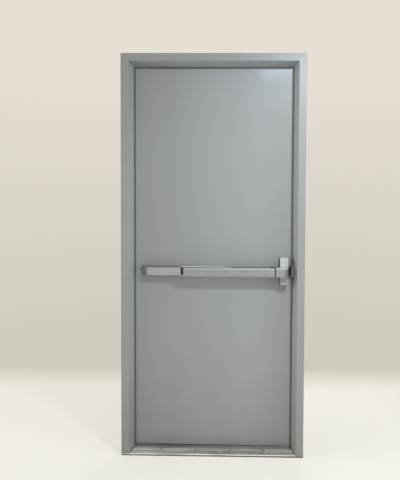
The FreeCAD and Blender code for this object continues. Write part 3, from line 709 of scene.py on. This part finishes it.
def makeGapShadePlate():
    # painted shade: a black plate on the latch head's side that darkens the joint beside the pad
    low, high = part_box("latch_head_cover")
    middle, size = (low + high) / 2, high - low
    pickNothing()
    bpy.ops.mesh.primitive_cube_add(size=1, location=(low.x - gapShadePlate["thick"] / 2, middle.y, middle.z))
    plate = bpy.context.object
    plate.name = plate.data.name = "head_gap_shade_plate"
    plate.scale = (gapShadePlate["thick"], size.y - 2 * gapShadePlate["shy"], size.z - 2 * gapShadePlate["shy"])
    bpy.ops.object.transform_apply(location=True, rotation=True, scale=True)
    pickFaces(plate, lambda face: face.normal.x < -squareOn)
    bpy.ops.mesh.bevel(offset=gapShadePlate["edge"], segments=gapShadePlate["edgeSteps"], affect="EDGES")
    smoothEdges(plate)
    plate.data.materials.append(finishes["gapShadePlastic"])
    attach(plate, "leaf")


makeGapShadePlate()
print("gap plate set")

studio = {"floorBack": 0.98, "floorHalf": 6, "floorFront": -5, "backFade": 0.3, "sideFade": 3,
          "floorColour": shade(236, 231, 221), "floorBounce": shade(240, 236, 227),
          "floorEven": shade(238, 234, 224), "evenShare": 0.6, "cloudScale": 1.2, "cloudTone": (0.985, 1.015),
          "floorRough": (0.85, 0.9), "floorShine": 0.1,
          "wallLow": shade(206, 201, 189), "wallHigh": shade(229, 223, 212), "wallSpan": (-0.42, 0.25),
          "ambient": (1.0, 0.99, 0.96, 1), "ambientSpan": (-0.1, 0.9), "ambientLevel": (0.5, 0.46)}


def makeFloor():
    pickNothing()
    back, front, half = studio["floorBack"], studio["floorFront"], studio["floorHalf"]
    bpy.ops.mesh.primitive_plane_add(size=1, location=(0, front + (back - front) / 2, 0))
    floor = bpy.context.object
    floor.name = "studio_floor"
    floor.scale = (half * 2, back - front, 1)
    bpy.ops.object.transform_apply(location=True, rotation=True, scale=True)
    material, tree, shader = startMaterial("paleFloor")
    place = objectPlace(tree)
    cloud = noise(tree, place, studio["cloudScale"], 3)
    path = addNode(tree, "ShaderNodeLightPath").outputs
    seen = most(tree, path["Is Camera Ray"], path["Is Glossy Ray"])
    tone = mixColour(tree, seen, studio["floorBounce"], studio["floorColour"])  # bounces paler than it shows
    colour = mixColour(tree, 1.0, tone, stretch(tree, cloud, *noiseSpan, *studio["cloudTone"]), "MULTIPLY")
    even = times(tree, seen, studio["evenShare"])  # shows part of its tone whatever the lamps do
    axes = axesOf(tree, place)
    fade = most(tree, stretch(tree, axes[1], back - studio["backFade"], back),
                stretch(tree, axes[1], front + studio["sideFade"], front),
                stretch(tree, unsigned(tree, axes[0]), half - studio["sideFade"], half))
    # the edges melt into the wall
    colour = mixColour(tree, fade, mixColour(tree, even, colour, black), black)
    glow = mixColour(tree, fade, mixColour(tree, even, black, studio["floorEven"]), studio["wallLow"])
    tree.links.new(glow, shader.inputs["Emission Color"])
    shader.inputs["Emission Strength"].default_value = 1
    feed(tree, shader, colour, stretch(tree, cloud, *noiseSpan, *studio["floorRough"]))
    shader.inputs["Specular IOR Level"].default_value = studio["floorShine"]
    floor.data.materials.append(material)


def makeWorld():
    # the pale wall is the world as the camera and reflections see it; the light it throws is set apart
    world = bpy.data.worlds.new("paleStudio")
    scene.world = world
    world.use_nodes = True
    tree = world.node_tree
    tree.nodes.clear()
    heading = addNode(tree, "ShaderNodeTexCoord").outputs["Generated"]
    up = axesOf(tree, heading)[2]
    wall = mixColour(tree, stretch(tree, up, *studio["wallSpan"]), studio["wallLow"], studio["wallHigh"])
    path = addNode(tree, "ShaderNodeLightPath").outputs
    seen = most(tree, path["Is Camera Ray"], path["Is Glossy Ray"], path["Is Transmission Ray"])
    shown = addNode(tree, "ShaderNodeBackground", {0: wall, 1: 1.0})
    level = stretch(tree, up, *studio["ambientSpan"], *studio["ambientLevel"])  # a little less from overhead
    even = addNode(tree, "ShaderNodeBackground", {0: studio["ambient"], 1: level})
    both = addNode(tree, "ShaderNodeMixShader", {0: seen, 1: even.outputs[0], 2: shown.outputs[0]})
    addNode(tree, "ShaderNodeOutputWorld", {0: both.outputs[0]})


lamps = {  # spread and roll in degrees
    "ceilingLamp": {"place": (0.86, -1.15, 2.45), "aim": (0.86, -1.15, 0), "size": (0.45, 0.13), "power": 31,
                    "spread": 180, "colour": (0.93, 0.97, 1.0)},
    "rightWindow": {"place": (2.9, -1.1, 1.1), "aim": (-0.3, 0, 1.1), "size": (0.9, 0.9), "power": 17,
                    "spread": 130, "colour": (0.76, 0.89, 1.0)},
    "cornerWindow": {"place": (0.55, -1.2, 2.455), "aim": (0.42, 0, 2.15), "size": (0.42, 0.1), "power": 2.8,
                     "spread": 180, "colour": (0.62, 0.78, 1.0), "roll": 10},
    "leftFill": {"place": (-3.2, -0.47, 1.5), "aim": (0.4, 0, 1.4), "size": (0.8, 2.0), "power": 39,
                 "spread": 130, "colour": (0.91, 0.965, 1.0)},
    "rearFill": {"place": (0.9, 3.6, 1.3), "aim": (0, 0, 1.1), "size": (1.6, 1.6), "power": 60,
                 "spread": 180, "colour": (1.0, 0.99, 0.97)},
}


def makeLamp(name, look):
    lamp = bpy.data.lights.new(name, "AREA")
    lamp.shape, lamp.energy, lamp.color = "RECTANGLE", look["power"], look["colour"]
    lamp.size, lamp.size_y = look["size"]
    lamp.spread = math.radians(look["spread"])
    holder = bpy.data.objects.new(name, lamp)
    scene.collection.objects.link(holder)
    holder.location = look["place"]
    facing = (Vector(look["aim"]) - holder.location).to_track_quat("-Z", "Y").to_matrix()
    holder.rotation_euler = (facing @ Matrix.Rotation(math.radians(look.get("roll", 0)), 3, "Z")).to_euler()


viewpoint = {"place": (0.1044, -2.2686, 1.5434), "tiltDown": 1.671, "turnLeft": 0.888, "roll": -0.267,
             "focalPixels": 410.3, "imageWidth": 400, "imageHeight": 480, "axisAcross": 226,
             "axisDown": 187.9, "sensor": 36}


def makeCamera():
    data = bpy.data.cameras.new("photoCamera")
    data.sensor_fit = "VERTICAL"
    data.sensor_height = data.sensor_width = viewpoint["sensor"]
    data.lens = viewpoint["focalPixels"] * viewpoint["sensor"] / viewpoint["imageHeight"]
    data.shift_x = (viewpoint["imageWidth"] / 2 - viewpoint["axisAcross"]) / viewpoint["imageHeight"]
    data.shift_y = viewpoint["axisDown"] / viewpoint["imageHeight"] - 0.5
    camera = bpy.data.objects.new("photoCamera", data)
    scene.collection.objects.link(camera)
    camera.location = viewpoint["place"]
    turns = (90 - viewpoint["tiltDown"], viewpoint["roll"], viewpoint["turnLeft"])
    camera.rotation_euler = [math.radians(turn) for turn in turns]
    scene.camera = camera


makeFloor()
makeWorld()
for name, look in lamps.items():
    makeLamp(name, look)
makeCamera()
print("studio set")
